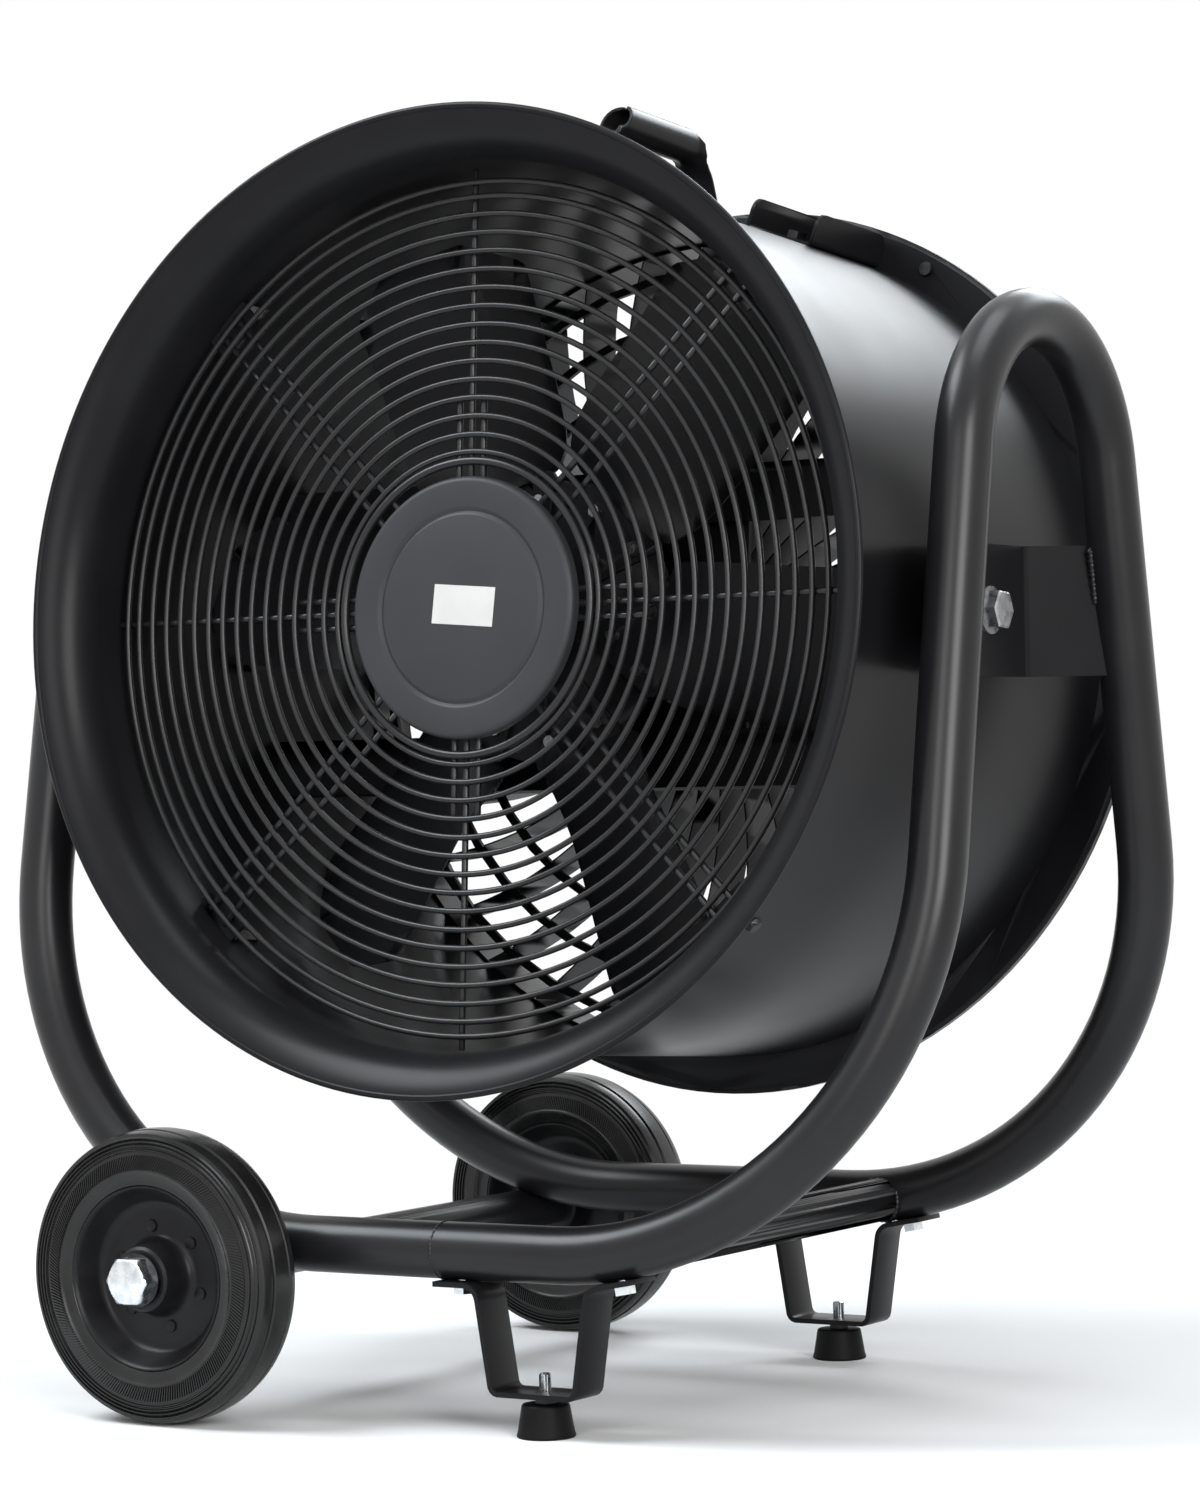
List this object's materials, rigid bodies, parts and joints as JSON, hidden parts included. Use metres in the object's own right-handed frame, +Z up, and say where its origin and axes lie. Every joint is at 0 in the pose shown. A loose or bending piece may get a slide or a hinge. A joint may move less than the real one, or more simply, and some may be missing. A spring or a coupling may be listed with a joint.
{
  "type": "drum fan",
  "caption": "Tilting drum fan with a flared wire-guarded outlet and bladed impeller, carried in a bent tube frame with side wheels and rubber feet.",
  "frame": {"origin": "on the floor under the middle of the frame, midway between its two sides and its front and back wheels", "axes": "+X to the right seen from the outlet, +Y from the outlet to the back, +Z up"},
  "size_m": [0.754, 0.5936, 0.9086],
  "materials": {
    "frame_paint": "satin black powder coat",
    "drum_paint": "satin black powder coat",
    "guard_paint": "satin black powder coat on wire and sheet",
    "cap_paint": "matte black powder coat",
    "blade_paint": "matte black paint",
    "motor_paint": "matte black paint",
    "zinc": "bright zinc plate",
    "bare_steel": "turned steel",
    "black_screws": "black oxide screws",
    "blade_screws": "dark zinc plate",
    "tyre_rubber": "solid black rubber",
    "wheel_plastic": "moulded black plastic",
    "foot_rubber": "moulded black rubber"
  },
  "bodies": {
    "frame": {"frame_tube_left": "frame_paint", "frame_tube_right": "frame_paint", "axle_tube": "frame_paint", "brace_tube": "frame_paint", "axle_bushes": "bare_steel", "axle_bolts": "zinc", "axle_washers": "zinc", "foot_strap_front": "frame_paint", "foot_strap_back": "frame_paint", "bracket_bolts": "zinc", "lock_nuts": "zinc", "pivot_plates": "frame_paint"},
    "foot_front": {"rubber_foot_front": "foot_rubber", "foot_stud_front": "zinc"},
    "foot_back": {"rubber_foot_back": "foot_rubber", "foot_stud_back": "zinc"},
    "wheel_front": {"tyre_front": "tyre_rubber", "wheel_disc_front": "wheel_plastic"},
    "wheel_back": {"tyre_back": "tyre_rubber", "wheel_disc_back": "wheel_plastic"},
    "drum": {"pivot_bosses": "drum_paint", "pivot_bolts": "zinc", "pivot_washers": "zinc", "drum_shell": "drum_paint", "bell_mouth": "drum_paint", "back_ring": "drum_paint", "drum_screws": "black_screws", "guard_rings": "guard_paint", "guard_spokes": "guard_paint", "guard_tabs": "guard_paint", "hub_cap": "cap_paint", "motor_plate": "cap_paint", "motor_stator": "motor_paint", "vane_band": "drum_paint", "back_vanes": "guard_paint", "back_rings": "guard_paint", "top_handle": "drum_paint", "top_channel": "drum_paint", "top_bolts": "black_screws"},
    "impeller": {"motor_rotor": "motor_paint", "impeller_plate": "blade_paint", "blades": "blade_paint", "blade_bolts": "blade_screws"}
  },
  "joints": [
    {"name": "tilt", "type": "hinge", "parent": "frame", "child": "drum", "pos_m": [0, 0.014, 0.5335], "axis": [1, 0, 0], "range_deg": [-86, 94]},
    {"name": "impeller_spin", "type": "hinge", "parent": "drum", "child": "impeller", "pos_m": [0, 0.014, 0.5335], "axis": [0, -0.9973, 0.0732], "continuous": true},
    {"name": "wheel_front_spin", "type": "hinge", "parent": "frame", "child": "wheel_front", "pos_m": [-0.182, -0.255, 0.1], "axis": [0, 1, 0], "continuous": true},
    {"name": "wheel_back_spin", "type": "hinge", "parent": "frame", "child": "wheel_back", "pos_m": [-0.182, 0.255, 0.1], "axis": [0, 1, 0], "continuous": true},
    {"name": "foot_front_level", "type": "slide", "parent": "frame", "child": "foot_front", "axis": [0, 0, 1], "range_m": [-0.01, 0]},
    {"name": "foot_back_level", "type": "slide", "parent": "frame", "child": "foot_back", "axis": [0, 0, 1], "range_m": [-0.01, 0]}
  ]
}
